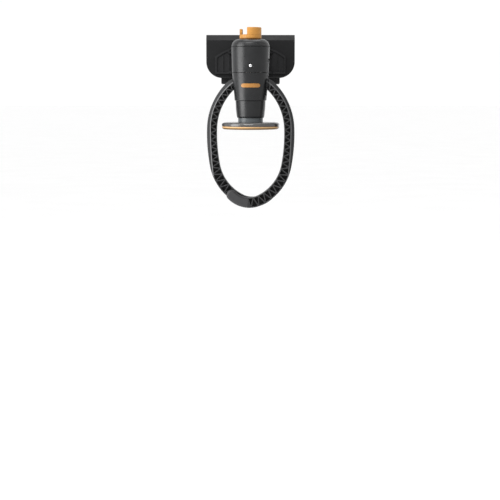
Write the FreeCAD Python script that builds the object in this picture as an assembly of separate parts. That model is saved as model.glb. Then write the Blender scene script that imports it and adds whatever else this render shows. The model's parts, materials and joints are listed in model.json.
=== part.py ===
import FreeCAD, Part
import math
import os

# Push-to-grip bicycle wall rack. Millimetres, +Z up, wall plane at y = 0, front towards -Y.
# The origin is the centre of the four wall screws, on the wall plane.
# The gripping head (the pod) stands on a vertical axis in front of the wall. Two identical arms
# turn on stub pins, one in the rear layer and one in the front layer, so their tips can cross.
# The rest pose is the closed one, with the trigger pad pushed up.

# Overall layout
POD_Y = -215.0

# Wall side
PLATE_T = 4.0
PLATE_INSET = 4.0
COVER_HALF_W = 85.8
COVER_TOP = 44.2
COVER_BOTTOM = -38.9
COVER_CORNER_R = 31.0
COVER_DEPTH = 16.0
COVER_WALL = 2.5
COVER_EDGE_R = 2.0
SLOPE_TOP_Y = -3.5
SLOPE_HEIGHT = 10.5
TONGUE_HALF_W = 57.0
TONGUE_BOTTOM = -50.8
TONGUE_LIP_Y = -9.0
TONGUE_CORNER_R = 3.0
WALL_SCREW_X = 60.0
WALL_SCREW_Z = 24.0
WALL_SCREW_R = 3.5
BEAM_SCREW_X = 30.0
BEAM_SCREW_Z = (-16.0, 10.0)

# Neck beam
BLOCK_HALF_W = 40.0
BLOCK_Z = (-26.0, 20.0)
FLANGE_HALF_W = 68.0
FLANGE_T = 5.0
FLANGE_Z = (-31.0, 2.5)
FLANGE_CROWN = 24.3
FLANGE_RIM = 3.0
FLANGE_RECESS = 2.6
BEAM_HALF_W = 22.0
BEAM_END_Y = POD_Y + 36.0
BEAM_TOP = (31.0, 28.0, 9.0)
BEAM_LOW = (-33.0, -44.0, -59.0)
BEAM_KNEE_Y = -60.0
BEAM_WEB_HALF_T = 7.0

# Pod
SEAM_CAP = 14.8
SEAM_MID = -31.2
SEAM_LOW = -81.0
POD_BOTTOM = -111.8
SHELL_PROFILE = ((34.2, SEAM_CAP), (33.8, -8.0), (32.9, SEAM_MID), (30.6, -58.0), (28.7, SEAM_LOW))
SHELL_WALL = 2.5
SEAM_GAP = 0.25
SLOT_Z = (-72.0, -6.2)
SLOT_DEPTH = 13.5
DOME_TOP = 28.5
FRONT_SCREW_Z = -18.9
SCREW_RECESS_R = 5.2
SCREW_RECESS_V = -31.4
PILLAR_X = 14.0
PILLAR_Z = (-54.0, 4.0)

# Lock lever on the dome
LEVER_R = 19.5
LEVER_WALL = 4.0
LEVER_LOW = 28.8
LEVER_BASE_TOP = 36.6
TAB_TOP = 49.4
POST_TOP = 46.6
SPINDLE_R = 5.0
BUSH_LOW = 22.0
CAM_Z = (15.9, 19.0)
CLIP_Z = (15.0, 15.7)

# Frame plates and pivots
PIVOT_X = -12.2
PIVOT_Z = -26.0
PIN_R = 4.0
BUSH_R = 5.6
LAYER_GAP = 1.0
ROOT_T = 12.0
BODY_T = 16.0
SIDE_PLATE_V = 14.0
SIDE_PLATE_T = 3.0
SIDE_PLATE_HALF_W = 21.2
MID_PLATE_HALF_W = 16.8
MID_PLATE_HALF_T = 0.8
PLATE_Z = (-66.0, 13.5)
TIE_Z = (10.5, -62.5)
TIE_R = 2.0

# Gear sector and rack
MODULE = 1.5
SECTOR_TEETH = 42
PITCH_R = MODULE * SECTOR_TEETH / 2
PRESSURE = math.radians(20.0)
BACKLASH = 0.2
RACK_V = (1.5, 7.5)

# Plunger
HEAD_TOP = -70.0
HEAD_T = 4.0
HEAD_R = 24.6
NECK_R = 22.4
NECK_WALL = 3.0
TUBE_FLOOR_T = 4.5
SPRING_TOP = -68.5
PAD_TOP = -119.9
PAD_SPLIT = -127.2
PAD_BOTTOM = -132.4
PAD_R = 52.0
STOP_Z = -99.2
STOP_T = 1.8
COLLAR_BORE_R = 25.0
RACK_SCREW = (15.6, 4.5)

# Arm: the centre line is tangent arcs (radius, sweep in degrees) from the shoulder to the tip
ARM_START = (-22.0, -49.0)
ARM_HEADING = 185.0
ARM_ARCS = ((25.0, 40.0), (110.0, 43.0), (310.0, 12.5), (87.0, 54.0), (44.0, 72.0))
ARM_HALF_W = 9.1
HUB_R = 12.0
THICK_FROM_X = -33.5
# The ridge between the arm's smooth outer slope and its ribbed side is two tangent arcs
RIDGE_START = (-30.0, -46.0)
RIDGE_HEADING = 215.2
RIDGE_ARCS = ((103.0, 55.0), (800.0, 8.0))
SLOPE_FALL = 0.42
BEAD_W = 1.7
BEAD_SINK = 0.7
CELL = 12.0
RIB_HALF = 0.65
RIM = 1.4
POCKET_DEPTH = 6.0
TRUSS_START_S = 7.0
SLEEVE_FROM = 30.0
CORE_HALF_W = 5.0
CORE_HALF_T = 4.0
CORE_SHORT = 3.0
SLEEVE_EDGE = 3.0

# Latch
LATCH_PIVOT = (12.0, -2.0)
LATCH_TIP = (-1.5, -62.0)

UP = FreeCAD.Vector(0, 0, 1)
BACK = FreeCAD.Vector(0, 1, 0)


def vec(x, v, z):
    """A point at x and z, and v behind the pod's axis."""
    return FreeCAD.Vector(x, POD_Y + v, z)


def fuse(shapes):
    first, rest = shapes[0], shapes[1:]
    return first.fuse(rest).removeSplitter() if rest else first


def box(x0, x1, v0, v1, z0, z1):
    return Part.makeBox(x1 - x0, v1 - v0, z1 - z0, vec(x0, v0, z0))


def wall_box(x0, x1, y0, y1, z0, z1):
    return box(x0, x1, y0 - POD_Y, y1 - POD_Y, z0, z1)


def rod_y(x, z, r, v0, v1):
    return Part.makeCylinder(r, v1 - v0, vec(x, v0, z), BACK)


def ring_y(x, z, r_out, r_in, v0, v1):
    return rod_y(x, z, r_out, v0, v1).cut(rod_y(x, z, r_in, v0 - 1, v1 + 1))


def cone_y(x, z, r0, r1, v0, v1):
    return Part.makeCone(r0, r1, v1 - v0, vec(x, v0, z), BACK)


def rod_z(r, z0, z1, x=0.0, v=0.0):
    return Part.makeCylinder(r, z1 - z0, vec(x, v, z0), UP)


def ring_z(r_out, r_in, z0, z1):
    return rod_z(r_out, z0, z1).cut(rod_z(r_in, z0 - 1, z1 + 1))


def turned(shape):
    """The same piece on the other side: half a turn about the pod's axis."""
    copy = shape.copy()
    copy.rotate(vec(0, 0, 0), UP, 180)
    return copy


def spin(edges):
    """A solid of revolution about the pod's axis from edges drawn in the x, z plane."""
    face = Part.Face(Part.Wire(edges))
    return face.revolve(vec(0, 0, 0), UP, 360)


def polyline(points):
    return [Part.LineSegment(a, b).toShape() for a, b in zip(points, points[1:])]


def spin_points(points):
    pts = [vec(r, 0, z) for r, z in points]
    return spin(polyline(pts + pts[:1]))


def slab(points, v0, v1):
    """A flat plate with an outline of x, z points, from v0 to v1."""
    pts = [vec(x, v0, z) for x, z in points]
    face = Part.Face(Part.Wire(polyline(pts + pts[:1])))
    return face.extrude(FreeCAD.Vector(0, v1 - v0, 0))


def save(name, shape):
    """Write a piece, or a group of separate solids, and check it."""
    if isinstance(shape, (list, tuple)):
        shape = Part.makeCompound(list(shape))
    good = shape.isValid() and all(s.isClosed() for s in shape.Shells) and shape.Volume > 0
    print(f"{name:22s} solids {len(shape.Solids)} volume {shape.Volume:10.0f} {'ok' if good else 'BAD'}")
    shape.exportStep(f"parts/{name}.step")


# ---------------------------------------------------------------- wall side

def cover_outline(inset, y):
    """Face of the cover's outline: square top corners, round lower corners."""
    w = COVER_HALF_W - inset
    top = COVER_TOP - inset
    low = COVER_BOTTOM + inset
    r = COVER_CORNER_R - inset
    k = r * (1 - math.sqrt(0.5))
    p = [FreeCAD.Vector(x, y, z) for x, z in (
        (-w, top), (w, top), (w, low + r), (w - r, low), (r - w, low), (-w, low + r))]
    right = FreeCAD.Vector(w - k, y, low + k)
    left = FreeCAD.Vector(k - w, y, low + k)
    edges = polyline(p[:3]) + [Part.Arc(p[2], right, p[3]).toShape()]
    edges += polyline(p[3:5]) + [Part.Arc(p[4], left, p[5]).toShape()]
    edges += polyline([p[5], p[0]])
    return Part.Face(Part.Wire(edges))


def make_wall_plate():
    """Steel plate on the wall, with a tongue below that ends in a stiffening lip."""
    plate = cover_outline(PLATE_INSET, 0).extrude(FreeCAD.Vector(0, -PLATE_T, 0))
    tongue = wall_box(-TONGUE_HALF_W, TONGUE_HALF_W, -PLATE_T, 0, TONGUE_BOTTOM, COVER_BOTTOM + 20)
    corners = [e for e in tongue.Edges
               if abs(e.CenterOfMass.z - TONGUE_BOTTOM) < 0.1 and abs(e.Length - PLATE_T) < 0.1]
    tongue = tongue.makeFillet(TONGUE_CORNER_R, corners)
    half = TONGUE_HALF_W - 8
    lip = wall_box(-half, half, TONGUE_LIP_Y, -PLATE_T, TONGUE_BOTTOM, TONGUE_BOTTOM + 3.0)
    plate = fuse([plate, tongue, lip])
    for x in (-WALL_SCREW_X, WALL_SCREW_X):
        for z in (-WALL_SCREW_Z, WALL_SCREW_Z):
            plate = plate.cut(wall_rod(x, z, WALL_SCREW_R, -PLATE_T - 1, 1))
    for x, z in beam_screw_places():
        plate = plate.cut(wall_rod(x, z, 3.1, -PLATE_T - 1, 1))
        plate = plate.cut(wall_cone(x, z, 3.1, 6.5, -3.4, 0))
    return plate


def wall_rod(x, z, r, y0, y1):
    return rod_y(x, z, r, y0 - POD_Y, y1 - POD_Y)


def wall_cone(x, z, r0, r1, y0, y1):
    return cone_y(x, z, r0, r1, y0 - POD_Y, y1 - POD_Y)


def beam_screw_places():
    return [(x, z) for x in (-BEAM_SCREW_X, BEAM_SCREW_X) for z in BEAM_SCREW_Z]


def make_beam_screws():
    """Countersunk screws, put in from the wall side of the plate."""
    screws = []
    for x, z in beam_screw_places():
        head = wall_cone(x, z, 3.0, 6.0, -3.3, -0.3)
        shank = wall_rod(x, z, 3.0, -14.0, -3.2)
        socket = wall_rod(x, z, 1.8, -2.3, 0)
        screws.append(fuse([head, shank]).cut(socket))
    return screws


def cover_slope(inset):
    """What the cover's sloping top edge leaves out, moved inwards by a wall's thickness."""
    run = COVER_DEPTH + SLOPE_TOP_Y
    length = math.hypot(run, SLOPE_HEIGHT)
    y = SLOPE_TOP_Y + inset * SLOPE_HEIGHT / length
    z = COVER_TOP - inset * run / length
    pts = [FreeCAD.Vector(-100, y + a * run, z + b * SLOPE_HEIGHT)
           for a, b in ((1, 1), (-2, -2), (-2, 2), (1, 2), (1, 1))]
    return Part.Face(Part.Wire(polyline(pts))).extrude(FreeCAD.Vector(200, 0, 0))


def make_base_cover():
    """A moulded tray over the wall plate, with a sloping top edge."""
    tray = cover_outline(0, 0).extrude(FreeCAD.Vector(0, -COVER_DEPTH, 0)).cut(cover_slope(0))
    front_edges = [e for e in tray.Edges if all(abs(p.Point.y + COVER_DEPTH) < 0.01 for p in e.Vertexes)
                   and e.CenterOfMass.z < COVER_TOP - SLOPE_HEIGHT - 1]
    tray = tray.makeFillet(COVER_EDGE_R, front_edges)
    hollow = cover_outline(COVER_WALL, 1).extrude(FreeCAD.Vector(0, COVER_WALL - COVER_DEPTH - 1, 0))
    tray = tray.cut(hollow.cut(cover_slope(COVER_WALL)))
    block = wall_box(-BLOCK_HALF_W - 0.4, BLOCK_HALF_W + 0.4, -20, 1, BLOCK_Z[0] - 0.4, BLOCK_Z[1] + 0.4)
    notch = wall_box(-TONGUE_HALF_W - 0.4, TONGUE_HALF_W + 0.4, -PLATE_T - 0.3, 1, -60, COVER_BOTTOM + 8)
    return tray.cut(block).cut(notch)


def arch_face(half_w, low, side, crown, y):
    """An outline with straight sides and an arched top."""
    a = FreeCAD.Vector(-half_w, y, low)
    b = FreeCAD.Vector(half_w, y, low)
    c = FreeCAD.Vector(half_w, y, side)
    d = FreeCAD.Vector(-half_w, y, side)
    edges = polyline([d, a, b, c]) + [Part.Arc(c, FreeCAD.Vector(0, y, crown), d).toShape()]
    return Part.Face(Part.Wire(edges))


def side_extrusion(outline, x0, x1):
    """A solid with an outline of y, z points, from x0 to x1."""
    pts = [FreeCAD.Vector(x0, y, z) for y, z in outline]
    return Part.Face(Part.Wire(polyline(pts + pts[:1]))).extrude(FreeCAD.Vector(x1 - x0, 0, 0))


def make_flange():
    """Arched plate with a raised rim and low ribs, against the front of the base cover."""
    back = -COVER_DEPTH - 0.3
    front = back - FLANGE_T
    flange = arch_face(FLANGE_HALF_W, *FLANGE_Z, FLANGE_CROWN, back).extrude(FreeCAD.Vector(0, -FLANGE_T, 0))
    low, side = FLANGE_Z
    rim = FLANGE_RIM
    recess = arch_face(FLANGE_HALF_W - rim, low + rim, side - rim, FLANGE_CROWN - rim, front - 1)
    flange = flange.cut(recess.extrude(FreeCAD.Vector(0, 1 + FLANGE_RECESS, 0)))
    ribs = []
    for x in (-53.0, -41.0, 41.0, 53.0):
        ribs.append(wall_box(x - 0.9, x + 0.9, front + 1.2, back - 1, low + 2, side + 6))
    return fuse([flange] + ribs)


def make_neck_beam():
    """A cast arm: block on the wall plate, arched flange, and a pocketed beam out to the pod."""
    back = -COVER_DEPTH - 0.3
    front = back - FLANGE_T
    block = wall_box(-BLOCK_HALF_W, BLOCK_HALF_W, back - 1, -PLATE_T, *BLOCK_Z)
    stations = (back - 1, BEAM_KNEE_Y, BEAM_END_Y)
    outline = list(zip(stations, BEAM_TOP)) + list(zip(stations, BEAM_LOW))[::-1]
    beam = side_extrusion(outline, -BEAM_HALF_W, BEAM_HALF_W)
    for cell in beam_pockets():
        beam = beam.cut(side_extrusion(cell, -BEAM_HALF_W - 1, -BEAM_WEB_HALF_T))
        beam = beam.cut(side_extrusion(cell, BEAM_WEB_HALF_T, BEAM_HALF_W + 1))
    gussets = []
    for z in (-30.0, 8.0):
        corners = ((-44, front + 1), (44, front + 1), (20, -62), (-20, -62), (-44, front + 1))
        outline = Part.Wire(polyline([FreeCAD.Vector(x, y, z) for x, y in corners]))
        gussets.append(Part.Face(outline).extrude(FreeCAD.Vector(0, 0, 4.0)))
    whole = fuse([block, make_flange(), beam] + gussets)
    for x, z in beam_screw_places():
        whole = whole.cut(wall_rod(x, z, 3.0, -15.5, -PLATE_T + 1))
    for x, z in pillar_places():
        whole = whole.cut(rod_y(x, z, 3.0, 35, 36 + 14))
    return whole


def beam_pockets():
    """Side pockets of the beam, with slanting ribs between them."""
    top = ((-32.0, 25.0), (-172.0, 3.0))
    low = ((-32.0, -28.0), (-172.0, -53.0))
    steps = 5
    gap = 0.022

    def along(line, t):
        return tuple(a + (b - a) * t for a, b in zip(*line))

    cells = []
    for i in range(steps):
        t0, t1 = i / steps + gap, (i + 1) / steps - gap
        if i % 2:
            cells.append([along(top, t0), along(top, t1), along(low, t0)])
            cells.append([along(top, t1 + gap), along(low, t1), along(low, t0 + gap)])
        else:
            cells.append([along(top, t0), along(low, t1), along(low, t0)])
            cells.append([along(top, t0 + gap), along(top, t1), along(low, t1 + gap)])
    return cells


# ---------------------------------------------------------------- pod shells

def shell_edge(offset):
    """The pod's outline, moved inwards, from the cap seam down to the lower seam."""
    curve = Part.BSplineCurve()
    curve.interpolate([vec(r - offset, 0, z) for r, z in SHELL_PROFILE])
    return curve


def shell_core(offset):
    """Everything inside the pod's outline, moved inwards."""
    edge = shell_edge(offset)
    inside = polyline([edge.EndPoint, vec(0, 0, SEAM_LOW), vec(0, 0, SEAM_CAP), edge.StartPoint])
    return spin([edge.toShape()] + inside)


def shell_solid():
    """The pod's wall as a full tube, between the cap seam and the lower seam."""
    outer = shell_edge(0)
    inner = shell_edge(SHELL_WALL)
    o0, o1 = outer.StartPoint, outer.EndPoint
    i0, i1 = inner.StartPoint, inner.EndPoint
    edges = [outer.toShape()] + polyline([o1, i1]) + [inner.toShape()] + polyline([i0, o0])
    return spin(edges)


def seam_groove(r, z, width=0.9, depth=0.8):
    return spin_points(((r + 2, z - width - 1.2), (r - depth, z), (r + 2, z + width + 1.2)))


def slot_box():
    return box(0, 60, -SLOT_DEPTH, 1, SLOT_Z[0], SLOT_Z[1])


def shell_blank():
    blank = shell_solid()
    for r, z in (SHELL_PROFILE[0], SHELL_PROFILE[2], SHELL_PROFILE[4]):
        blank = blank.cut(seam_groove(r, z))
    return blank.cut(slot_box()).cut(turned(slot_box()))


def make_front_covers(blank):
    """The front half of the pod in two pieces, with the screw boss on the upper one."""
    front = blank.common(box(-60, 60, -60, -0.1, -130, 60))
    boss = rod_y(0, FRONT_SCREW_Z, 3.9, SCREW_RECESS_V, -SIDE_PLATE_V - SIDE_PLATE_T - 0.1)
    seat = rod_y(0, FRONT_SCREW_Z, SCREW_RECESS_R + 1.2, -32.2, -28.5)
    front = fuse([front, boss, seat])
    front = front.cut(rod_y(0, FRONT_SCREW_Z, 2.7, -50, -10))
    front = front.cut(rod_y(0, FRONT_SCREW_Z, SCREW_RECESS_R, -50, SCREW_RECESS_V))
    upper = front.common(box(-60, 60, -60, 0, SEAM_MID + SEAM_GAP, SEAM_CAP - SEAM_GAP))
    lower = front.common(box(-60, 60, -60, 0, SEAM_LOW + SEAM_GAP, SEAM_MID - SEAM_GAP))
    return upper, lower


def pillar_places():
    return [(x, z) for x in (-PILLAR_X, PILLAR_X) for z in PILLAR_Z]


def make_rear_housing(blank):
    """The back half of the pod, with a flat saddle for the beam and four pillars for the frame."""
    rear = blank.common(box(-60, 60, 0.1, 60, SEAM_LOW + SEAM_GAP, SEAM_CAP - SEAM_GAP))
    saddle = box(-20, 20, 20, 36, -57, 7).cut(shell_core(SHELL_WALL))
    pillars = [rod_y(x, z, 5.2, SIDE_PLATE_V + SIDE_PLATE_T, 31) for x, z in pillar_places()]
    rear = fuse([rear, saddle] + pillars)
    for x, z in pillar_places():
        rear = rear.cut(rod_y(x, z, 3.05, 10, 40))
    return rear


def make_pod_bolts():
    """Countersunk bolts through the rear frame plate and the housing into the beam."""
    bolts = []
    for x, z in pillar_places():
        head = cone_y(x, z, 5.7, 3.0, SIDE_PLATE_V + 0.2, SIDE_PLATE_V + 2.9)
        shank = rod_y(x, z, 3.0, SIDE_PLATE_V + 2.8, 36 + 12)
        socket = rod_y(x, z, 1.6, SIDE_PLATE_V, SIDE_PLATE_V + 2.0)
        bolts.append(fuse([head, shank]).cut(socket))
    return bolts


def make_collar():
    """The bottom collar: guides the plunger and stops it at the end of its travel."""
    step = STOP_Z - STOP_T
    bore = NECK_R + 0.25
    top = -76.0
    outer = [(26.0, top), (26.0, SEAM_LOW + 0.1), (27.0, SEAM_LOW - SEAM_GAP), (26.3, -96.0)]
    low = [(24.8, POD_BOTTOM + 2.4), (24.1, POD_BOTTOM + 0.6), (23.4, POD_BOTTOM), (bore, POD_BOTTOM)]
    return spin_points(outer + low + [(bore, step), (COLLAR_BORE_R, step), (COLLAR_BORE_R, top)])


def make_dome_cap():
    """Low dome with a bush for the lever's spindle and a spigot into the shells."""
    spigot_r = SHELL_PROFILE[0][0] - SHELL_WALL - 0.3
    spigot_low = SEAM_CAP - 5.6
    rim = SEAM_CAP + SEAM_GAP
    pts = [vec(r, 0, z) for r, z in (
        (spigot_r, spigot_low), (spigot_r, rim), (34.0, rim + 0.3), (33.9, 18.4), (33.4, 19.2),
        (32.8, 19.6), (33.0, 20.4))]
    crown = Part.Arc(pts[-1], vec(29.6, 0, 25.3), vec(20.4, 0, DOME_TOP)).toShape()
    bore = SPINDLE_R + 0.1
    inside = [vec(r, 0, z) for r, z in (
        (20.4, DOME_TOP), (bore, DOME_TOP), (bore, BUSH_LOW), (8.0, BUSH_LOW), (8.0, 26.0), (18.5, 26.0),
        (25.5, 23.6), (29.2, 19.0), (29.2, spigot_low), (spigot_r, spigot_low))]
    return spin(polyline(pts) + [crown] + polyline(inside))


def make_badge():
    """A blank raised badge that follows the pod's curve."""
    skin = shell_core(-0.7).cut(shell_core(0))
    pad = box(-17.0, 17.0, -60, 0, -57.5, -50.5)
    corners = [e for e in pad.Edges if abs(e.Length - 60) < 0.1]
    return skin.common(pad.makeFillet(3.4, corners))


# ---------------------------------------------------------------- lock lever on the dome

def ring_wall(r_out, r_in, a0, a1, z0, z1):
    """A piece of a ring between two angles, counted from +X towards the back."""
    corner = [vec(r * math.cos(math.radians(a)), r * math.sin(math.radians(a)), z0)
              for r, a in ((r_in, a0), (r_out, a0), (r_out, a1), (r_in, a1))]
    mid = math.radians((a0 + a1) / 2)
    far = Part.Arc(corner[1], vec(r_out * math.cos(mid), r_out * math.sin(mid), z0), corner[2]).toShape()
    near = Part.Arc(corner[3], vec(r_in * math.cos(mid), r_in * math.sin(mid), z0), corner[0]).toShape()
    edges = polyline(corner[0:2]) + [far] + polyline(corner[2:4]) + [near]
    return Part.Face(Part.Wire(edges)).extrude(FreeCAD.Vector(0, 0, z1 - z0))


def make_lock_lever():
    """Turning lock: a round base with a tall finger tab at the front right and a post at the back left."""
    low, top, r = LEVER_LOW, LEVER_BASE_TOP, LEVER_R
    inner = LEVER_R - LEVER_WALL
    base = spin_points(((0, low), (r - 0.5, low), (r, low + 0.6), (r, top - 1.0), (r - 1.0, top), (0, top)))
    tab = rounded_top(ring_wall(r, inner, -109, -2, top - 0.8, TAB_TOP), TAB_TOP, 1.2)
    post = rounded_top(ring_wall(r, inner, 152, 184, top - 0.8, POST_TOP), POST_TOP, 1.0)
    spindle = rod_z(SPINDLE_R, CLIP_Z[0] - 0.8, low + 0.5)
    lever = fuse([base, tab, post, spindle])
    dish = spin_points(((0, top - 2.3), (13.0, top - 2.3), (14.0, top + 0.7), (0, top + 0.7)))
    flat = box(SPINDLE_R - 1.4, 8, -8, 8, CLIP_Z[0] - 1, CAM_Z[1] + 0.05)
    groove = ring_z(8, SPINDLE_R - 1.0, CLIP_Z[0] - 0.1, CLIP_Z[1] + 0.1)
    return lever.cut(dish).cut(flat).cut(groove)


def rounded_top(wall, top, radius):
    return wall.makeFillet(radius, [e for e in wall.Edges if abs(e.CenterOfMass.z - top) < 0.01])


def make_lock_cam():
    """Half-moon cam on the spindle's flat, under the dome."""
    z0, z1 = CAM_Z
    disc = rod_z(13.0, z0, z1).cut(box(-20, 20, 4.0, 20, z0 - 1, z1 + 1))
    disc = fuse([disc, rod_z(8.0, z0, z1)])
    hole = rod_z(SPINDLE_R + 0.05, z0 - 1, z1 + 1).cut(box(SPINDLE_R - 1.35, 8, -8, 8, z0 - 2, z1 + 2))
    return disc.cut(hole)


def make_lever_clip():
    z0, z1 = CLIP_Z
    return ring_z(7.2, SPINDLE_R - 0.95, z0, z1).cut(box(-3.0, 3.0, 0, 10, z0 - 1, z1 + 1))


def make_detent_washer():
    """Spring washer between the cam and the dome's bush."""
    top, low, t = BUSH_LOW - 0.1, CAM_Z[1] + 0.1, 0.8
    r = SPINDLE_R + 0.3
    return spin_points(((r, top), (r + 1.3, top), (10.6, low + t), (10.6, low), (9.3, low), (r, top - t)))


# ---------------------------------------------------------------- frame inside the pod

def plate_outline(half_w, low, high, v0, v1, corner):
    plate = box(-half_w, half_w, v0, v1, low, high)
    return plate.makeFillet(corner, [e for e in plate.Edges if abs(e.Length - (v1 - v0)) < 0.01])


def make_rear_frame():
    v0 = SIDE_PLATE_V
    plate = plate_outline(SIDE_PLATE_HALF_W, *PLATE_Z, v0, v0 + SIDE_PLATE_T, 4.0)
    plate = plate.cut(rod_y(PIVOT_X, PIVOT_Z, PIN_R, 0, 30))
    for z in TIE_Z:
        plate = plate.cut(rod_y(0, z, TIE_R, 0, 30))
    for x, z in pillar_places():
        plate = plate.cut(rod_y(x, z, 3.05, 0, 30))
        plate = plate.cut(cone_y(x, z, 5.9, 3.05, v0, v0 + SIDE_PLATE_T))
    return plate


def make_front_frame():
    v0 = -SIDE_PLATE_V - SIDE_PLATE_T
    plate = plate_outline(SIDE_PLATE_HALF_W, *PLATE_Z, v0, -SIDE_PLATE_V, 4.0)
    plate = plate.cut(rod_y(-PIVOT_X, PIVOT_Z, PIN_R, -30, 0))
    for z in TIE_Z:
        plate = plate.cut(rod_y(0, z, TIE_R, -30, 0))
        plate = plate.cut(cone_y(0, z, 4.2, TIE_R, v0, v0 + 2.2))
    plate = plate.cut(rod_y(0, FRONT_SCREW_Z, 2.5, -30, 0))
    return plate.cut(rod_y(*LATCH_PIVOT, 1.5, -30, 0))


def make_mid_plate():
    plate = plate_outline(MID_PLATE_HALF_W, *PLATE_Z, -MID_PLATE_HALF_T, MID_PLATE_HALF_T, 4.0)
    for x in (PIVOT_X, -PIVOT_X):
        plate = plate.cut(rod_y(x, PIVOT_Z, PIN_R, -5, 5))
    for z in TIE_Z:
        plate = plate.cut(rod_y(0, z, TIE_R, -5, 5))
    return plate


def make_spacers():
    one = ring_y(0, TIE_Z[0], 3.5, TIE_R, MID_PLATE_HALF_T, SIDE_PLATE_V)
    return [one, turned(one)]


def make_tie_bolts():
    bolts = []
    for z in TIE_Z:
        head = cone_y(0, z, 3.9, TIE_R, -16.9, -14.9)
        shank = rod_y(0, z, TIE_R, -15.0, 21.5)
        bolts.append(fuse([head, shank]).cut(rod_y(0, z, 1.2, -17, -15.6)))
    return bolts


def hexagon_y(x, z, across, v0, v1):
    r = across / math.sqrt(3)
    turns = [math.radians(60 * k) for k in range(6)]
    corners = [(x + r * math.cos(a), z + r * math.sin(a)) for a in turns]
    return slab(corners, v0, v1)


def make_tie_nuts():
    return [hexagon_y(0, z, 7.0, 17.0, 20.2).cut(rod_y(0, z, TIE_R, 10, 30)) for z in TIE_Z]


def make_spring_seat():
    """Block on the lower tie bolt that holds the spring's upper end."""
    z = TIE_Z[1]
    block = box(-4.5, 4.5, -SIDE_PLATE_V, SIDE_PLATE_V, -66.0, -58.5)
    block = block.cut(box(-10, 10, -MID_PLATE_HALF_T, MID_PLATE_HALF_T, -66.0, -50))
    seat = fuse([block, rod_z(11.0, SPRING_TOP, -66.0), rod_z(5.6, SPRING_TOP - 5.5, SPRING_TOP + 0.5)])
    return seat.cut(rod_y(0, z, TIE_R, -20, 20))


def make_pins():
    """Stub pins: each runs from its side plate to the middle plate."""
    pin = rod_y(PIVOT_X, PIVOT_Z, PIN_R, -MID_PLATE_HALF_T, 19.4)
    pin = pin.cut(ring_y(PIVOT_X, PIVOT_Z, 6, 3.2, 17.1, 18.1))
    return [pin, turned(pin)]


def make_pin_clips():
    clip = ring_y(PIVOT_X, PIVOT_Z, 5.5, 3.25, 17.2, 18.0)
    clip = clip.cut(box(PIVOT_X - 2.6, PIVOT_X + 2.6, 10, 20, PIVOT_Z, PIVOT_Z + 9))
    return [clip, turned(clip)]


def make_thrust_washers():
    washer = ring_y(PIVOT_X, PIVOT_Z, 9.0, 4.3, 13.1, 13.9)
    return [washer, turned(washer)]


def make_bush():
    return ring_y(PIVOT_X, PIVOT_Z, BUSH_R, PIN_R + 0.05, LAYER_GAP, LAYER_GAP + ROOT_T)


def make_front_screw():
    """Round-headed screw that holds the front covers to the frame."""
    ball = Part.makeSphere(4.6, vec(0, -28.0, FRONT_SCREW_Z))
    head = ball.common(rod_y(0, FRONT_SCREW_Z, 3.3, -40, SCREW_RECESS_V))
    shank = rod_y(0, FRONT_SCREW_Z, 2.5, SCREW_RECESS_V - 0.1, -SIDE_PLATE_V)
    socket = hexagon_y(0, FRONT_SCREW_Z, 2.6, -34, SCREW_RECESS_V - 0.2)
    return fuse([head, shank]).cut(socket)


# ---------------------------------------------------------------- arms

def arc_chain(start, heading, arcs):
    """Centre, radius, first angle and sweep of each of a row of tangent arcs."""
    x, z = start
    angle = heading - 90.0
    chain = []
    for radius, sweep in arcs:
        cx = x - radius * math.cos(math.radians(angle))
        cz = z - radius * math.sin(math.radians(angle))
        chain.append((cx, cz, radius, angle, sweep))
        angle += sweep
        x = cx + radius * math.cos(math.radians(angle))
        z = cz + radius * math.sin(math.radians(angle))
    return chain


ARM_LINE = arc_chain(ARM_START, ARM_HEADING, ARM_ARCS)
RIDGE_LINE = arc_chain(RIDGE_START, RIDGE_HEADING, RIDGE_ARCS)
ARM_LENGTH = sum(math.radians(sweep) * radius for radius, sweep in ARM_ARCS)
SLEEVE_S = ARM_LENGTH - math.radians(ARM_ARCS[-1][1] - SLEEVE_FROM) * ARM_ARCS[-1][0]


def arm_point(s, u):
    """x and z at length s along the arm, and u towards its inner edge."""
    for cx, cz, radius, angle, sweep in ARM_LINE:
        length = math.radians(sweep) * radius
        if s <= length + 1e-6:
            break
        s -= length
    a = math.radians(angle) + s / radius
    return cx + (radius - u) * math.cos(a), cz + (radius - u) * math.sin(a)


def ridge_u(s):
    """How far towards the inner edge the ridge lies at length s; the outer edge once it has run out."""
    x, z = arm_point(s, 0)
    inner_x, inner_z = arm_point(s, 1)
    nx, nz = inner_x - x, inner_z - z
    for cx, cz, radius, angle, sweep in RIDGE_LINE:
        towards = (cx - x) * nx + (cz - z) * nz
        across = (cx - x) ** 2 + (cz - z) ** 2 - towards ** 2
        u = towards - math.sqrt(radius ** 2 - across)
        turn = math.degrees(math.atan2(z + u * nz - cz, x + u * nx - cx)) % 360 - angle
        if turn <= sweep:
            return max(u, -ARM_HALF_W)
    return -ARM_HALF_W


def swept(cx, cz, radius, angle, sweep, profile):
    """A profile of (u, v) points turned about an arc's centre."""
    a = math.radians(angle)
    pts = [vec(cx + (radius - u) * math.cos(a), v, cz + (radius - u) * math.sin(a)) for u, v in profile]
    face = Part.Face(Part.Wire(polyline(pts + pts[:1])))
    return face.revolve(vec(cx, 0, cz), FreeCAD.Vector(0, -1, 0), sweep)


def part_arc(index, from_deg, to_deg, profile):
    cx, cz, radius, angle, _ = ARM_LINE[index]
    return swept(cx, cz, radius, angle + from_deg, to_deg - from_deg, profile)


def rectangle(half_w, v0, v1, chamfer=0.8):
    w, c = half_w, chamfer
    front = [(w, v0 + c), (w - c, v0), (c - w, v0), (-w, v0 + c)]
    return front + [(-w, v1 - c), (c - w, v1), (w - c, v1), (w, v1 - c)]


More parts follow.
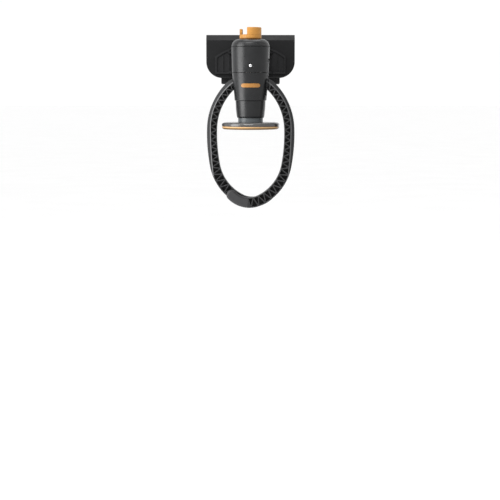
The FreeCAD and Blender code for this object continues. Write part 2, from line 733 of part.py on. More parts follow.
def core_section():
    """Section of the thin core that the sleeve is moulded over."""
    middle = LAYER_GAP + BODY_T / 2
    return rectangle(CORE_HALF_W, middle - CORE_HALF_T, middle + CORE_HALF_T, 1.0)


def slope_cutters():
    """Cut the smooth outer slope, which falls away from a low bead along the ridge, on both faces."""
    reach = 14.0
    cutters = []
    for cx, cz, radius, angle, sweep in RIDGE_LINE:
        for level, sign in ((LAYER_GAP, 1), (LAYER_GAP + BODY_T, -1)):
            near = level + sign * BEAD_SINK
            profile = [(0, level - sign), (0, near), (-reach, near + sign * SLOPE_FALL * reach),
                       (-reach, level - sign)]
            cutters.append(swept(cx, cz, radius, angle, sweep, profile))
    return cutters


def truss_pockets():
    """Triangular pockets that leave a zigzag of thin ribs on both faces."""
    inner = ARM_HALF_W - RIM
    blunt = 1.1
    count = round((SLEEVE_S - TRUSS_START_S) / CELL)
    pitch = (SLEEVE_S - TRUSS_START_S) / count
    near, far = LAYER_GAP, LAYER_GAP + BODY_T
    levels = ((near - 1, near + POCKET_DEPTH), (far - POCKET_DEPTH, far + 1))
    pockets = []
    for i in range(2 * count - 1):
        start = TRUSS_START_S + i * pitch / 2
        ends = (start + RIB_HALF * 2, start + pitch - RIB_HALF * 2)
        mid = start + pitch / 2
        if i % 2:
            corners = [(s, ridge_u(s) + BEAD_W) for s in ends] + [(mid, inner - blunt)]
        else:
            corners = [(s, inner) for s in ends] + [(mid, ridge_u(mid) + BEAD_W + blunt)]
        pockets += [slab([arm_point(s, u) for s, u in corners], v0, v1) for v0, v1 in levels]
    return pockets


def sector_outline():
    """Gear sector: involute teeth on the part of the rim that meets the rack."""
    base_r = PITCH_R * math.cos(PRESSURE)
    root_r = PITCH_R - 1.25 * MODULE
    tip_r = PITCH_R + MODULE
    inv = math.tan(PRESSURE) - PRESSURE
    half = (math.pi * MODULE / 2 - BACKLASH / 2) / (2 * PITCH_R)

    def flank(r):
        phi = math.acos(min(1.0, base_r / r))
        return half + inv - (math.tan(phi) - phi)

    radii = [root_r + (tip_r - root_r) * k / 4 for k in range(5)]
    step = 2 * math.pi / SECTOR_TEETH
    rim = []
    for k in range(-2, 8):
        centre = k * step
        rim += [(r, centre - flank(r)) for r in radii]
        rim += [(r, centre + flank(r)) for r in reversed(radii)]
    ends = [(8.0, 7.6 * step), (8.0, -2.6 * step)]
    rim = [(root_r, -2.5 * step)] + rim + [(root_r, 7.5 * step)] + ends
    return [(PIVOT_X + r * math.cos(a), PIVOT_Z + r * math.sin(a)) for r, a in rim]


def make_arm():
    """The left arm: hub and gear sector at the root, ribbed curved body, thin core under the sleeve."""
    root = (LAYER_GAP, LAYER_GAP + ROOT_T)
    body = (LAYER_GAP, LAYER_GAP + BODY_T)
    section = rectangle(ARM_HALF_W, *body)
    last = len(ARM_ARCS) - 1
    overlap = 0.02
    limb = [part_arc(i, 0, ARM_ARCS[i][1], section) for i in range(last)]
    limb += [part_arc(last, 0, SLEEVE_FROM, section),
             part_arc(last, SLEEVE_FROM - overlap, ARM_ARCS[last][1] - CORE_SHORT, core_section())]
    limb = fuse(limb).cut(slope_cutters()).cut(truss_pockets())
    # Inside the pod's slot only the thinner root layer goes on.
    limb = limb.cut(box(THICK_FROM_X, 0, root[1], body[1] + 1, -90, 0))
    root_link = link((PIVOT_X, PIVOT_Z), HUB_R, ARM_START, ARM_HALF_W, *root)
    sector = slab(sector_outline(), root[0] + 1, root[1] - 1)
    arm = fuse([limb, root_link, sector])
    return arm.cut(rod_y(PIVOT_X, PIVOT_Z, BUSH_R, 0, 20)).removeSplitter()


def link(a, ra, b, rb, v0, v1):
    """A flat bar that tapers between two round ends."""
    (ax, az), (bx, bz) = a, b
    length = math.hypot(bx - ax, bz - az)
    nx, nz = (az - bz) / length, (bx - ax) / length
    bar = slab([(ax + ra * nx, az + ra * nz), (bx + rb * nx, bz + rb * nz),
                (bx - rb * nx, bz - rb * nz), (ax - ra * nx, az - ra * nz)], v0, v1)
    return fuse([bar, rod_y(ax, az, ra, v0, v1), rod_y(bx, bz, rb, v0, v1)])


def make_sleeve():
    """Soft sleeve over the end of the left arm, closed round the tip."""
    v0, v1, c = LAYER_GAP, LAYER_GAP + BODY_T, SLEEVE_EDGE
    last = len(ARM_ARCS) - 1
    sweep = ARM_ARCS[last][1]
    tip_x, tip_z = arm_point(ARM_LENGTH, 0)
    tip = fuse([rod_y(tip_x, tip_z, ARM_HALF_W, v0 + c, v1 - c),
                cone_y(tip_x, tip_z, ARM_HALF_W - c, ARM_HALF_W, v0, v0 + c),
                cone_y(tip_x, tip_z, ARM_HALF_W, ARM_HALF_W - c, v1 - c, v1)])
    skin = fuse([part_arc(last, SLEEVE_FROM + 0.15, sweep, rectangle(ARM_HALF_W, v0, v1, c)), tip])
    return skin.cut(part_arc(last, SLEEVE_FROM - 1, sweep - CORE_SHORT, core_section()))


# ---------------------------------------------------------------- plunger

def make_rack():
    """Rack for the left arm, in the rear layer, on a foot that is screwed to the plunger's head."""
    line_x = PIVOT_X + PITCH_R
    pitch = math.pi * MODULE
    half = pitch / 4 - BACKLASH / 4
    slope = math.tan(PRESSURE)
    tip = line_x - MODULE
    root = line_x + 1.25 * MODULE
    rows = []
    for k in range(-3, 7):
        z = PIVOT_Z + (k + 0.5) * pitch
        at_root = half + slope * 1.25 * MODULE
        at_tip = half - slope * MODULE
        rows += [(root, z - at_root), (tip, z - at_tip), (tip, z + at_tip), (root, z + at_root)]
    top = rows[-1][1] + 0.8
    outline = [(root, HEAD_TOP)] + rows + [(root, top), (23.4, top), (23.4, HEAD_TOP)]
    rack = slab(outline, *RACK_V)
    foot = box(11.8, 22.0, RACK_V[0], RACK_V[1], HEAD_TOP, HEAD_TOP + 4)
    return fuse([rack, foot]).cut(rod_z(1.6, HEAD_TOP - 1, HEAD_TOP + 5, *RACK_SCREW))


def make_rack_screws():
    head = rod_z(2.6, HEAD_TOP + 4.0, HEAD_TOP + 5.8, *RACK_SCREW)
    shank = rod_z(1.5, HEAD_TOP - 9, HEAD_TOP + 4.1, *RACK_SCREW)
    screw = fuse([head, shank]).cut(rod_z(1.1, HEAD_TOP + 4.8, HEAD_TOP + 7, *RACK_SCREW))
    return [screw, turned(screw)]


def make_plunger_head():
    """Disc on top of the tube: carries the racks and the latch cam, and lets the spring through."""
    low = HEAD_TOP - HEAD_T
    disc = ring_z(HEAD_R, 12.0, low, HEAD_TOP)
    spigot = ring_z(NECK_R - NECK_WALL, 17.2, low - 6, low + 1)
    boss = rod_z(2.9, low - 7, low + 1, *RACK_SCREW)
    hole = rod_z(1.5, low - 6, HEAD_TOP + 1, *RACK_SCREW)
    head = fuse([disc, spigot, boss, turned(boss)]).cut(hole).cut(turned(hole))
    return head.cut(box(-8, 3, -21.5, -18, low - 1, HEAD_TOP + 1))


def make_plunger_tube():
    low = HEAD_TOP - HEAD_T
    inner = NECK_R - NECK_WALL
    floor = PAD_TOP + TUBE_FLOOR_T
    outside = [(inner, low), (NECK_R, low), (NECK_R, PAD_TOP), (0, PAD_TOP)]
    tube = spin_points(outside + [(0, floor), (inner, floor)])
    return tube.cut(rod_z(2.5, PAD_TOP - 1, floor + 1))


def make_spring():
    wire = 0.8
    top, low = SPRING_TOP - wire, PAD_TOP + TUBE_FLOOR_T + wire
    radius = 7.6
    pitch = (top - low) / 8.0
    helix = Part.makeHelix(pitch, top - low, radius)
    helix.translate(vec(0, 0, low))
    circle = Part.Wire([Part.Circle(vec(radius, 0, low), FreeCAD.Vector(0, 1, 0), wire).toShape()])
    return Part.Wire(helix.Edges).makePipeShell([circle], True, True)


def make_pad_disc():
    """Upper half of the trigger pad."""
    pts = [vec(r, 0, z) for r, z in ((0, PAD_TOP), (45.0, PAD_TOP), (49.0, PAD_TOP - 0.5))]
    edge = Part.Arc(pts[-1], vec(51.2, 0, PAD_TOP - 2.0), vec(PAD_R, 0, PAD_TOP - 4.4)).toShape()
    side = ((PAD_R, PAD_TOP - 4.4), (PAD_R - 0.4, PAD_SPLIT + 0.7), (PAD_R - 1.4, PAD_SPLIT))
    rest = [vec(r, 0, z) for r, z in side + ((0, PAD_SPLIT), (0, PAD_TOP))]
    return spin(polyline(pts) + [edge] + polyline(rest)).cut(rod_z(3.0, PAD_SPLIT - 1, PAD_TOP + 1))


def make_pad_ring():
    """Lower half of the pad, which the tyre pushes: a soft disc with a screw recess in the middle."""
    top = ((0, PAD_SPLIT), (PAD_R - 1.4, PAD_SPLIT), (PAD_R - 0.3, PAD_SPLIT - 1.3))
    pts = [vec(r, 0, z) for r, z in top]
    edge = Part.Arc(pts[-1], vec(PAD_R - 1.4, 0, PAD_BOTTOM + 1.7), vec(PAD_R - 5.0, 0, PAD_BOTTOM)).toShape()
    rest = [vec(r, 0, z) for r, z in ((PAD_R - 5.0, PAD_BOTTOM), (0, PAD_BOTTOM), (0, PAD_SPLIT))]
    ring = spin(polyline(pts) + [edge] + polyline(rest))
    ring = ring.cut(rod_z(8.0, PAD_BOTTOM - 1, PAD_SPLIT - 1.6))
    ring = ring.cut(rod_z(3.0, PAD_BOTTOM - 1, PAD_SPLIT + 1))
    for r in (20.0, 30.0, 40.0):
        ring = ring.cut(ring_z(r + 0.9, r - 0.9, PAD_BOTTOM - 1, PAD_BOTTOM + 1.2))
    return ring


def make_pad_screw():
    head = rod_z(5.5, PAD_BOTTOM + 1.6, PAD_SPLIT - 1.6)
    shank = rod_z(2.5, PAD_BOTTOM + 3, -112.0)
    return fuse([head, shank]).cut(rod_z(2.4, PAD_BOTTOM, PAD_BOTTOM + 2.6))


# ---------------------------------------------------------------- latch

def make_latch_cam():
    """Cam plate on the plunger: a closed loop of groove round an island, for the follower's pin."""
    plate = box(-11.5, 6.2, -21.5, -18.0, HEAD_TOP, -30.0)
    tenon = box(-8, 3, -21.5, -18.0, HEAD_TOP - HEAD_T, HEAD_TOP)
    cam = fuse([plate, tenon])
    track = ((-1.2, -64.8), (-5.6, -35.6), (2.8, -43.0), (2.8, -58.0), (-1.2, -64.8))
    groove_r = 2.3
    for a, b in zip(track, track[1:]):
        cam = cam.cut(link(a, groove_r, b, groove_r, -22.5, -19.0))
    return cam


def make_latch_follower():
    """Flat spring lever with a pin at its end that runs in the cam's groove."""
    lever = link(LATCH_PIVOT, 2.1, LATCH_TIP, 2.1, -24.4, -22.4)
    eye = rod_y(*LATCH_PIVOT, 3.4, -24.4, -22.4)
    pin = rod_y(*LATCH_TIP, 1.5, -22.6, -19.4)
    return fuse([lever, eye, pin]).cut(rod_y(*LATCH_PIVOT, 2.05, -30, -10))


def make_latch_screw():
    """Shoulder screw that the follower turns on."""
    shank = rod_y(*LATCH_PIVOT, 1.5, -17.5, -SIDE_PLATE_V)
    collar = rod_y(*LATCH_PIVOT, 3.2, -22.3, -17.0)
    journal = rod_y(*LATCH_PIVOT, 2.0, -24.6, -22.2)
    head = rod_y(*LATCH_PIVOT, 3.2, -26.0, -24.5)
    return fuse([shank, collar, journal, head])


def main():
    os.makedirs("parts", exist_ok=True)
    save("wall_plate", make_wall_plate())
    save("base_cover", make_base_cover())
    save("neck_beam", make_neck_beam())
    save("beam_screws", make_beam_screws())

    blank = shell_blank()
    upper, lower = make_front_covers(blank)
    save("upper_front_cover", upper)
    save("lower_front_cover", lower)
    save("rear_housing", make_rear_housing(blank))
    save("pod_bolts", make_pod_bolts())
    save("bottom_collar", make_collar())
    save("stop_ring", ring_z(24.9, NECK_R + 0.6, STOP_Z - STOP_T, STOP_Z))
    save("dome_cap", make_dome_cap())
    save("badge", make_badge())
    save("front_screw", make_front_screw())

    save("lock_lever", make_lock_lever())
    save("lock_cam", make_lock_cam())
    save("lever_clip", make_lever_clip())
    save("detent_washer", make_detent_washer())

    save("front_frame_plate", make_front_frame())
    save("rear_frame_plate", make_rear_frame())
    save("middle_plate", make_mid_plate())
    save("frame_spacers", make_spacers())
    save("tie_bolts", make_tie_bolts())
    save("tie_nuts", make_tie_nuts())
    save("spring_seat", make_spring_seat())
    save("pivot_pins", make_pins())
    save("pin_clips", make_pin_clips())
    save("thrust_washers", make_thrust_washers())
    save("latch_screw", make_latch_screw())
    save("latch_follower", make_latch_follower())

    arm, sleeve, bush, rack = make_arm(), make_sleeve(), make_bush(), make_rack()
    save("left_arm", arm)
    save("right_arm", turned(arm))
    save("left_tip_sleeve", sleeve)
    save("right_tip_sleeve", turned(sleeve))
    save("left_pivot_bush", bush)
    save("right_pivot_bush", turned(bush))

    save("rear_rack", rack)
    save("front_rack", turned(rack))
    save("rack_screws", make_rack_screws())
    save("plunger_head", make_plunger_head())
    save("plunger_tube", make_plunger_tube())
    save("latch_cam", make_latch_cam())
    save("return_spring", make_spring())
    save("pad_disc", make_pad_disc())
    save("pad_ring", make_pad_ring())
    save("pad_screw", make_pad_screw())


main()
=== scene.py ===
import json
import math

import bmesh
import bpy
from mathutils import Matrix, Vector


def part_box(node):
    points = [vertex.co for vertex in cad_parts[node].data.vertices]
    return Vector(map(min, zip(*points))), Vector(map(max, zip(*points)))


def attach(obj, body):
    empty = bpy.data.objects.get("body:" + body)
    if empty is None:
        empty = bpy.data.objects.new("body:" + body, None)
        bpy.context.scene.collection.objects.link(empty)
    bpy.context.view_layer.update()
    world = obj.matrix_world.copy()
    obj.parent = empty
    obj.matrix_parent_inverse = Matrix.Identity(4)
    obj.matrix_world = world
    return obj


# Looks for the push-to-grip bicycle wall rack. Metres, in the CAD model's frame:
# the wall plane is y = 0, the front looks towards -Y, and +Z is up.

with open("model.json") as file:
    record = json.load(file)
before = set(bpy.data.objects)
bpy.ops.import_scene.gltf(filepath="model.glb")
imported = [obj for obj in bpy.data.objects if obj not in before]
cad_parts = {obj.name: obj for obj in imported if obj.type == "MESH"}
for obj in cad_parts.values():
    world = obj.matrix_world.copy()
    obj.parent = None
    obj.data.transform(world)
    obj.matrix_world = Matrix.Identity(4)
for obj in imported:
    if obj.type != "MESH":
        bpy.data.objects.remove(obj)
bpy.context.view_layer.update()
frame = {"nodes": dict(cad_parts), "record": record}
NODES = frame["nodes"]

# Axis of the gripping head, from the pad's box
PAD_LOW, PAD_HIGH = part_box("pad_disc")
AXIS_X = (PAD_LOW.x + PAD_HIGH.x) / 2
AXIS_Y = (PAD_LOW.y + PAD_HIGH.y) / 2


# ---------------------------------------------------------------- materials

# Middle of the arms' bead, where a highlight is painted: two tangent arcs, one above the other.
# From the front the arms mirror each other, and they lie below z = 0, so both share one set of
# numbers in (|x|, 0, |z|): centre, radius, and the side of the depth BEAD_TURN on which the arc holds.
BEAD_ARCS = (
    ((-0.02937, 0.0, 0.13017), 0.1020, "LESS_THAN"),
    ((-0.72637, 0.0, 0.12773), 0.7990, "GREATER_THAN"),
)
BEAD_TURN = 0.13052

# The highlight painted on the bead fades out over BEAD_FADE from its middle, and as the face turns
# away from the front over FLAT_FACE. The right arm's painted highlight is fainter by BEAD_ON_RIGHT,
# as the key light is on the left, blended over BEAD_SIDE.
BEAD_FADE = (0.0005, 0.0009)
FLAT_FACE = (0.7, 0.9)
BEAD_ON_RIGHT = 0.3
BEAD_SIDE = (-0.02, 0.02)

# Cosines between a face's normal and its rounded one: an edge, and no edge
EDGE_COSINE = (0.93, 0.996)

# Fine grain of moulded surfaces: noise scale and bump depth
GRAIN_SCALE = 2600.0
GRAIN_DEPTH = 0.00002
GRAIN_STRENGTH = 0.3


class Shade:
    """A small builder for a procedural material around one Principled shader."""

    def __init__(self, name, rough=0.4, metallic=0.0, specular=0.5):
        self.mat = bpy.data.materials.new(name)
        self.mat.use_nodes = True
        self.tree = self.mat.node_tree
        self.bsdf = self.tree.nodes["Principled BSDF"]
        self.bsdf.inputs["Roughness"].default_value = rough
        self.bsdf.inputs["Metallic"].default_value = metallic
        self.bsdf.inputs["Specular IOR Level"].default_value = specular
        coords = self.tree.nodes.new("ShaderNodeTexCoord")
        self.place = coords.outputs["Object"]
        self.normal = coords.outputs["Normal"]
        self.height = None

    def soft_edges(self, radius):
        """Lets corners catch the light as if slightly rounded."""
        node = self.tree.nodes.new("ShaderNodeBevel")
        node.samples = 4
        node.inputs["Radius"].default_value = radius
        self.height = node.outputs["Normal"]
        self.link(self.height, self.bsdf.inputs["Normal"])

    def grain(self):
        """Spark-eroded texture of the mould."""
        self.bump(self.noise(GRAIN_SCALE, 2.0), GRAIN_DEPTH, GRAIN_STRENGTH)

    def link(self, a, b):
        self.tree.links.new(a, b)

    def noise(self, scale, detail, stretch=(1, 1, 1)):
        mapping = self.tree.nodes.new("ShaderNodeMapping")
        mapping.inputs["Scale"].default_value = stretch
        self.link(self.place, mapping.inputs["Vector"])
        node = self.tree.nodes.new("ShaderNodeTexNoise")
        node.inputs["Scale"].default_value = scale
        node.inputs["Detail"].default_value = detail
        node.inputs["Roughness"].default_value = 0.5
        self.link(mapping.outputs["Vector"], node.inputs["Vector"])
        return node.outputs["Fac"]

    def cells(self, scale):
        node = self.tree.nodes.new("ShaderNodeTexVoronoi")
        node.inputs["Scale"].default_value = scale
        self.link(self.place, node.inputs["Vector"])
        return node.outputs["Distance"]

    def ramp(self, value, stops):
        node = self.tree.nodes.new("ShaderNodeValToRGB")
        self.link(value, node.inputs["Fac"])
        ramp = node.color_ramp
        ramp.elements[0].position, ramp.elements[0].color = stops[0][0], (*stops[0][1], 1)
        ramp.elements[1].position, ramp.elements[1].color = stops[-1][0], (*stops[-1][1], 1)
        for position, colour in stops[1:-1]:
            ramp.elements.new(position).color = (*colour, 1)
        return node.outputs["Color"]

    def remap(self, value, low, high, span=(0.3, 0.7)):
        node = self.tree.nodes.new("ShaderNodeMapRange")
        node.inputs["From Min"].default_value = span[0]
        node.inputs["From Max"].default_value = span[1]
        node.inputs["To Min"].default_value = low
        node.inputs["To Max"].default_value = high
        self.link(value, node.inputs["Value"])
        return node.outputs["Result"]

    def colour(self, value, stops):
        self.link(self.ramp(value, stops), self.bsdf.inputs["Base Color"])

    def mix(self, factor, a, b):
        node = self.tree.nodes.new("ShaderNodeMix")
        node.data_type = "RGBA"
        self.link(factor, node.inputs["Factor"])
        for socket, value in ((node.inputs["A"], a), (node.inputs["B"], b)):
            if isinstance(value, tuple):
                socket.default_value = (*value, 1)
            else:
                self.link(value, socket)
        return node.outputs["Result"]

    def openness(self, distance):
        """1 on open surfaces, less in pockets and corners."""
        node = self.tree.nodes.new("ShaderNodeAmbientOcclusion")
        node.samples = 6
        node.inputs["Distance"].default_value = distance
        return node.outputs["AO"]

    def edges(self, radius):
        """1 along corners, 0 on flat and gently curved surfaces."""
        bevel = self.tree.nodes.new("ShaderNodeBevel")
        bevel.samples = 4
        bevel.inputs["Radius"].default_value = radius
        surface = self.tree.nodes.new("ShaderNodeNewGeometry")
        facing = self.tree.nodes.new("ShaderNodeVectorMath")
        facing.operation = "DOT_PRODUCT"
        self.link(bevel.outputs["Normal"], facing.inputs[0])
        self.link(surface.outputs["Normal"], facing.inputs[1])
        return self.remap(facing.outputs["Value"], 1.0, 0.0, EDGE_COSINE)

    def math(self, operation, a, b):
        node = self.tree.nodes.new("ShaderNodeMath")
        node.operation = operation
        for socket, value in zip(node.inputs, (a, b)):
            if isinstance(value, float):
                socket.default_value = value
            else:
                self.link(value, socket)
        return node.outputs["Value"]

    def product(self, a, b):
        return self.math("MULTIPLY", a, b)

    def painted_bead_highlight(self):
        """Painted highlight, 1 along the bead between the arm's smooth slope and its ribs, fainter on the
        right arm.
        """
        flat = self.tree.nodes.new("ShaderNodeMapping")
        flat.inputs["Scale"].default_value = (1, 0, 1)
        self.link(self.place, flat.inputs["Vector"])
        folded = self.tree.nodes.new("ShaderNodeVectorMath")
        folded.operation = "ABSOLUTE"
        self.link(flat.outputs["Vector"], folded.inputs[0])
        parts = []
        for centre, radius, side in BEAD_ARCS:
            reach = self.tree.nodes.new("ShaderNodeVectorMath")
            reach.operation = "DISTANCE"
            reach.inputs[1].default_value = centre
            self.link(folded.outputs["Vector"], reach.inputs[0])
            off = self.math("ABSOLUTE", self.math("SUBTRACT", reach.outputs["Value"], radius), 0.0)
            height = self.tree.nodes.new("ShaderNodeSeparateXYZ")
            self.link(folded.outputs["Vector"], height.inputs["Vector"])
            within = self.math(side, height.outputs["Z"], BEAD_TURN)
            parts.append(self.product(self.remap(off, 1.0, 0.0, BEAD_FADE), within))
        across = self.tree.nodes.new("ShaderNodeSeparateXYZ")
        self.link(self.place, across.inputs["Vector"])
        # The painted highlight is fainter on the right arm, away from the key light on the left
        share = self.remap(across.outputs["X"], 1.0, BEAD_ON_RIGHT, BEAD_SIDE)
        facing = self.tree.nodes.new("ShaderNodeSeparateXYZ")
        self.link(self.normal, facing.inputs["Vector"])
        flat_face = self.remap(self.math("ABSOLUTE", facing.outputs["Y"], 0.0), 0.0, 1.0, FLAT_FACE)
        return self.product(self.product(self.math("ADD", *parts), share), flat_face)

    def roughness(self, value, low, high):
        self.link(self.remap(value, low, high), self.bsdf.inputs["Roughness"])

    def bump(self, value, distance, strength):
        node = self.tree.nodes.new("ShaderNodeBump")
        node.inputs["Distance"].default_value = distance
        node.inputs["Strength"].default_value = strength
        self.link(value, node.inputs["Height"])
        if self.height is not None:
            self.link(self.height, node.inputs["Normal"])
        self.height = node.outputs["Normal"]
        self.link(self.height, self.bsdf.inputs["Normal"])


def tint(colour, factor):
    return tuple(c * factor for c in colour)


def moulded(name, colour, rough, specular=0.3, spread=0.14):
    """Injection-moulded plastic: spark-eroded grain, faint flow marks, slightly uneven gloss."""
    s = Shade(name, rough, specular=specular)
    stops = ((0.32, tint(colour, 1 - spread)), (0.5, colour), (0.68, tint(colour, 1 + spread)))
    s.colour(s.noise(26.0, 4.0), stops)
    s.roughness(s.noise(60.0, 5.0), rough - 0.05, rough + 0.06)
    s.soft_edges(0.0005)
    s.grain()
    s.bump(s.noise(38.0, 2.0), 0.0001, 0.2)
    return s.mat


def ribbed_with_painted_light(name, colour, edge_wear_and_shading, pocket_shade, rough, specular, shade_depth, edge=0.0007, bead=None):
    """Ribbed moulded plastic with painted light: painted shade darkens it down in its pockets, and its
    corners take a colour of their own, partly wear and partly a painted highlight; a darker corner
    colour is painted shade.

    pocket is the depth over which the painted shade in a pocket darkens towards hollow, worn the
    colour of a corner, edge the width of such a corner, and bead the colour of the highlight painted
    along the arms' bead where there is one.
    """
    s = Shade(name, rough, specular=specular)
    cloud = s.ramp(s.noise(24.0, 4.0), ((0.32, tint(colour, 0.86)), (0.68, tint(colour, 1.14))))
    # Painted shade: the colour darkens in pockets and corners, going by ambient occlusion
    openness = s.openness(shade_depth)
    body = s.mix(s.remap(openness, 0.0, 1.0, (0.5, 0.95)), pocket_shade, cloud)
    # Corner colour: partly wear, partly a painted highlight; painted shade where it is darker
    edge_wear_and_shading_mask = s.product(s.edges(edge), s.remap(openness, 0.0, 1.0, (0.5, 0.8)))
    surface = s.mix(edge_wear_and_shading_mask, body, edge_wear_and_shading)
    # A highlight painted along the arms' bead
    if bead:
        surface = s.mix(s.painted_bead_highlight(), surface, bead)
    s.link(surface, s.bsdf.inputs["Base Color"])
    s.roughness(s.noise(60.0, 5.0), rough - 0.06, rough + 0.06)
    s.soft_edges(0.0004)
    s.grain()
    return s.mat


def rubber(name, colour, rough):
    """Soft overmoulding with a leathery grain."""
    s = Shade(name, rough, specular=0.25)
    s.colour(s.noise(45.0, 4.0), ((0.3, tint(colour, 0.88)), (0.7, tint(colour, 1.12))))
    s.roughness(s.noise(90.0, 3.0), rough - 0.08, rough + 0.08)
    s.soft_edges(0.0006)
    s.bump(s.cells(1500.0), 0.00004, 0.3)
    return s.mat


def rubber_with_painted_sheen(name, shaded_tread, rim_sheen, node, rough):
    """Rubber with a painted sheen on a band round its top and painted shade below, over the height of the
    given node.
    """
    low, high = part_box(node)
    join = tuple(low.z + share * (high.z - low.z) for share in (0.54, 0.66))
    s = Shade(name, rough, specular=0.25)
    cloud = s.noise(45.0, 4.0)
    # Lit and shaded copies of one rubber: painted shade below, a painted sheen on the top band
    painted_shade = s.ramp(cloud, ((0.3, tint(shaded_tread, 0.92)), (0.7, tint(shaded_tread, 1.08))))
    painted_sheen = s.ramp(cloud, ((0.3, tint(rim_sheen, 0.94)), (0.7, tint(rim_sheen, 1.06))))
    height = s.tree.nodes.new("ShaderNodeSeparateXYZ")
    s.link(s.place, height.inputs["Vector"])
    sheen_band = s.remap(height.outputs["Z"], 0.0, 1.0, join)
    s.link(s.mix(sheen_band, painted_shade, painted_sheen), s.bsdf.inputs["Base Color"])
    s.roughness(s.noise(60.0, 5.0), rough - 0.05, rough + 0.06)
    s.soft_edges(0.0005)
    s.grain()
    return s.mat


def plated(name, colour, rough=0.32):
    """Plated or polished metal with fine turning marks."""
    s = Shade(name, rough, metallic=1.0)
    streak = s.noise(500.0, 3.0, (1, 1, 30))
    s.colour(s.noise(80.0, 3.0), ((0.3, tint(colour, 0.86)), (0.7, colour)))
    s.roughness(streak, rough - 0.08, rough + 0.12)
    s.soft_edges(0.0002)
    s.bump(streak, 0.00002, 0.3)
    return s.mat


def painted(name, colour, rough):
    """Powder coat: orange-peel ripple under a satin finish."""
    s = Shade(name, rough, specular=0.15)
    s.colour(s.noise(30.0, 4.0), ((0.3, tint(colour, 0.85)), (0.7, tint(colour, 1.18))))
    s.roughness(s.noise(120.0, 3.0), rough - 0.05, rough + 0.08)
    s.soft_edges(0.0006)
    s.bump(s.noise(700.0, 3.0), 0.00005, 0.3)
    return s.mat


# liner_grey is a pale grey for the strips that paint a highlight along the pod's slot edges
MATERIALS = {
    # Corners: painted highlight, partly wear; seams and pockets: painted shade
    "moulded_black": ribbed_with_painted_light(
        "moulded_black", (0.006, 0.0063, 0.0068), edge_wear_and_shading=(0.02, 0.02, 0.021), pocket_shade=(0.001, 0.001, 0.001),
        rough=0.31, specular=0.3, shade_depth=0.003, edge=0.0004),
    # Pale grey that paints the highlight along the pod's slot edges
    "liner_grey": moulded("liner_grey", (0.16, 0.16, 0.162), 0.4, specular=0.4, spread=0.05),
    "cover_skin": moulded("cover_skin", (0.004, 0.0041, 0.0044), 0.5, specular=0.12),
    # Corners: painted highlight, partly wear; truss pockets: painted shade; bead: painted highlight
    "arm_grey": ribbed_with_painted_light(
        "arm_grey", (0.0155, 0.0157, 0.0165), edge_wear_and_shading=(0.06, 0.06, 0.061), pocket_shade=(0.0008, 0.0008, 0.0009),
        rough=0.5, specular=0.14, shade_depth=0.009, edge=0.001, bead=(0.13, 0.13, 0.132)),
    "sleeve_rubber": rubber("sleeve_rubber", (0.020, 0.020, 0.021), 0.62),
    "painted_steel": painted("painted_steel", (0.006, 0.006, 0.0065), 0.45),
    "cast_arm": painted("cast_arm", (0.006, 0.0061, 0.0066), 0.5),
    "plated_steel": plated("plated_steel", (0.62, 0.62, 0.63)),
    "bright_steel": plated("bright_steel", (0.58, 0.58, 0.59), 0.2),
    "spring_steel": plated("spring_steel", (0.42, 0.42, 0.43), 0.3),
    "bronze": plated("bronze", (0.60, 0.40, 0.18), 0.4),
    "acetal": moulded("acetal", (0.72, 0.70, 0.64), 0.35, spread=0.04),
    # Painted shade on the corners and in the pockets
    "orange_plastic": ribbed_with_painted_light(
        "orange_plastic", (0.33, 0.155, 0.034), edge_wear_and_shading=(0.2, 0.08, 0.014), pocket_shade=(0.1, 0.034, 0.004),
        rough=0.42, specular=0.16, shade_depth=0.004),
    # Painted sheen on the ring's top band, painted shade below it
    "orange_rubber": rubber_with_painted_sheen(
        "orange_rubber", shaded_tread=(0.085, 0.04, 0.002), rim_sheen=(0.40, 0.25, 0.12), node="pad_ring", rough=0.32),
    "pad_grey": moulded("pad_grey", (0.032, 0.031, 0.030), 0.22, specular=0.6, spread=0.08),
    "neck_grey": moulded("neck_grey", (0.052, 0.058, 0.062), 0.32, spread=0.08),
    "badge_satin": moulded("badge_satin", (0.22, 0.10, 0.022), 0.34, spread=0.05),
}

SLOT_OF = {part["node"]: part["material_slot"] for part in frame["record"]["subparts"]}
for node_name, node in NODES.items():
    for slot in node.material_slots:
        slot.material = MATERIALS[SLOT_OF[node_name]]


# ---------------------------------------------------------------- pale strips as painted highlights on the pod's side slots

SLOT_TOP = -0.0072
SLOT_FOOT = -0.0710
STRIP_FACE = 0.0010
STRIP_T = 0.0005
STRIP_W = 0.0021
STRIP_BEVEL = 0.0002
STRIP_INSET = 0.0006
STRIP_ROWS = 24

# The strip follows the pod's taper: how far in its foot is, and how the taper builds up
TAPER = 0.0042
TAPER_POWER = 1.25

# Rounding of the strip's ends: how far they draw in, and over which share of the length
END_PINCH = 0.0009
END_SHARE = 1 / 18


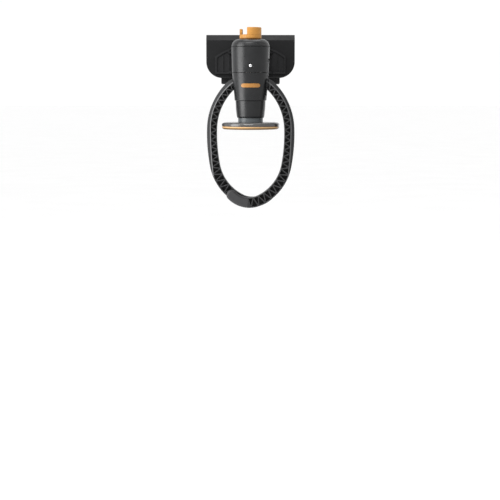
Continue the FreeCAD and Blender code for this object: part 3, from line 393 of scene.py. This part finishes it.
def add_highlight_strip(name, side):
    """A thin pale strip on the slot's edge, where the arm's root slides past: a painted highlight where
    that edge catches the light.

    side is 1 on the right; the left strip, -1, is the right one turned about the pod's axis.
    """
    pod_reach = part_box("rear_housing")[1].x - AXIS_X
    verts, faces = [], []
    for i in range(STRIP_ROWS + 1):
        t = i / STRIP_ROWS
        z = SLOT_TOP + (SLOT_FOOT - SLOT_TOP) * t
        outer = pod_reach - STRIP_INSET - TAPER * t ** TAPER_POWER
        pinch = END_PINCH * (1 - min(1.0, min(t, 1 - t) / END_SHARE))
        back = STRIP_FACE
        front = STRIP_FACE - STRIP_T
        section = ((outer - STRIP_W + pinch, back), (outer - STRIP_W + STRIP_BEVEL + pinch, front),
                   (outer - STRIP_BEVEL - pinch, front), (outer - pinch, back))
        verts += [(AXIS_X + side * r, AXIS_Y + side * v, z) for r, v in section]
    for i in range(STRIP_ROWS):
        a, b = 4 * i, 4 * i + 4
        faces += [(a + k, a + (k + 1) % 4, b + (k + 1) % 4, b + k) for k in range(4)]
    faces += [(0, 1, 2, 3), tuple(4 * STRIP_ROWS + k for k in (3, 2, 1, 0))]
    mesh = bpy.data.meshes.new(name)
    mesh.from_pydata(verts, [], faces)
    bm = bmesh.new()
    bm.from_mesh(mesh)
    bmesh.ops.recalc_face_normals(bm, faces=bm.faces)
    bm.to_mesh(mesh)
    bm.free()
    mesh.materials.append(MATERIALS["liner_grey"])
    strip = bpy.data.objects.new(name, mesh)
    bpy.context.scene.collection.objects.link(strip)
    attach(strip, "wall_bracket")


# Painted highlights along the edges of both side slots
add_highlight_strip("highlight_strip_right", 1)
add_highlight_strip("highlight_strip_left", -1)


# ---------------------------------------------------------------- stage, light and camera

EYE_Z = -0.062
EYE_DISTANCE = 2.5
EYE_SIDE = -0.001
FOCAL_PX = 1379.7
IMAGE_PX = 500.0
SENSOR = 36.0
PITCH = math.radians(6.615)
FLOOR_Z = -0.78
FLOOR_HALF = 60.0
ROOM_LIGHT = 1.02
HEAD = Vector((AXIS_X, AXIS_Y, EYE_Z))


def add_camera():
    data = bpy.data.cameras.new("camera")
    data.sensor_width = SENSOR
    data.lens = FOCAL_PX / IMAGE_PX * SENSOR
    camera = bpy.data.objects.new("camera", data)
    bpy.context.scene.collection.objects.link(camera)
    camera.location = (AXIS_X + EYE_SIDE, AXIS_Y - EYE_DISTANCE, EYE_Z)
    camera.rotation_euler = (math.pi / 2 - PITCH, 0, 0)
    bpy.context.scene.camera = camera


def add_light(name, bearing, elevation, distance, size, power):
    """A soft box round the gripping head; bearing 0 is in front, and positive to the right."""
    a, e = math.radians(bearing), math.radians(elevation)
    away = Vector((math.sin(a) * math.cos(e), -math.cos(a) * math.cos(e), math.sin(e)))
    data = bpy.data.lights.new(name, "AREA")
    data.shape = "RECTANGLE"
    data.size, data.size_y = size
    data.energy = power
    light = bpy.data.objects.new(name, data)
    bpy.context.scene.collection.objects.link(light)
    light.location = HEAD + away * distance
    light.rotation_euler = (-away).to_track_quat("-Z", "Y").to_euler()


def add_floor():
    mesh = bpy.data.meshes.new("floor")
    corners = ((-1, -1), (1, -1), (1, 1), (-1, 1))
    mesh.from_pydata([(FLOOR_HALF * x, FLOOR_HALF * y, FLOOR_Z) for x, y in corners], [], [(0, 1, 2, 3)])
    floor = bpy.data.objects.new("floor", mesh)
    bpy.context.scene.collection.objects.link(floor)
    s = Shade("floor", 0.8, specular=0.1)
    s.colour(s.noise(3.0, 2.0), ((0.3, (0.96, 0.96, 0.96)), (0.7, (0.98, 0.98, 0.98))))
    mesh.materials.append(s.mat)


def add_world():
    """Plain white room."""
    world = bpy.data.worlds.new("world")
    world.use_nodes = True
    background = world.node_tree.nodes["Background"]
    background.inputs["Color"].default_value = (1, 1, 1, 1)
    background.inputs["Strength"].default_value = ROOM_LIGHT
    bpy.context.scene.world = world
    bpy.context.scene.view_settings.view_transform = "Standard"


add_camera()
add_floor()
add_world()
add_light("key", -66.0, 12.0, 1.3, (0.9, 1.8), 36.0)
add_light("front", -12.0, 42.0, 1.5, (0.9, 0.9), 22.0)
add_light("rim_sheen", 150.0, 5.0, 1.6, (0.4, 1.2), 0.8)
add_light("top", 160.0, 78.0, 1.3, (1.0, 1.0), 10.0)
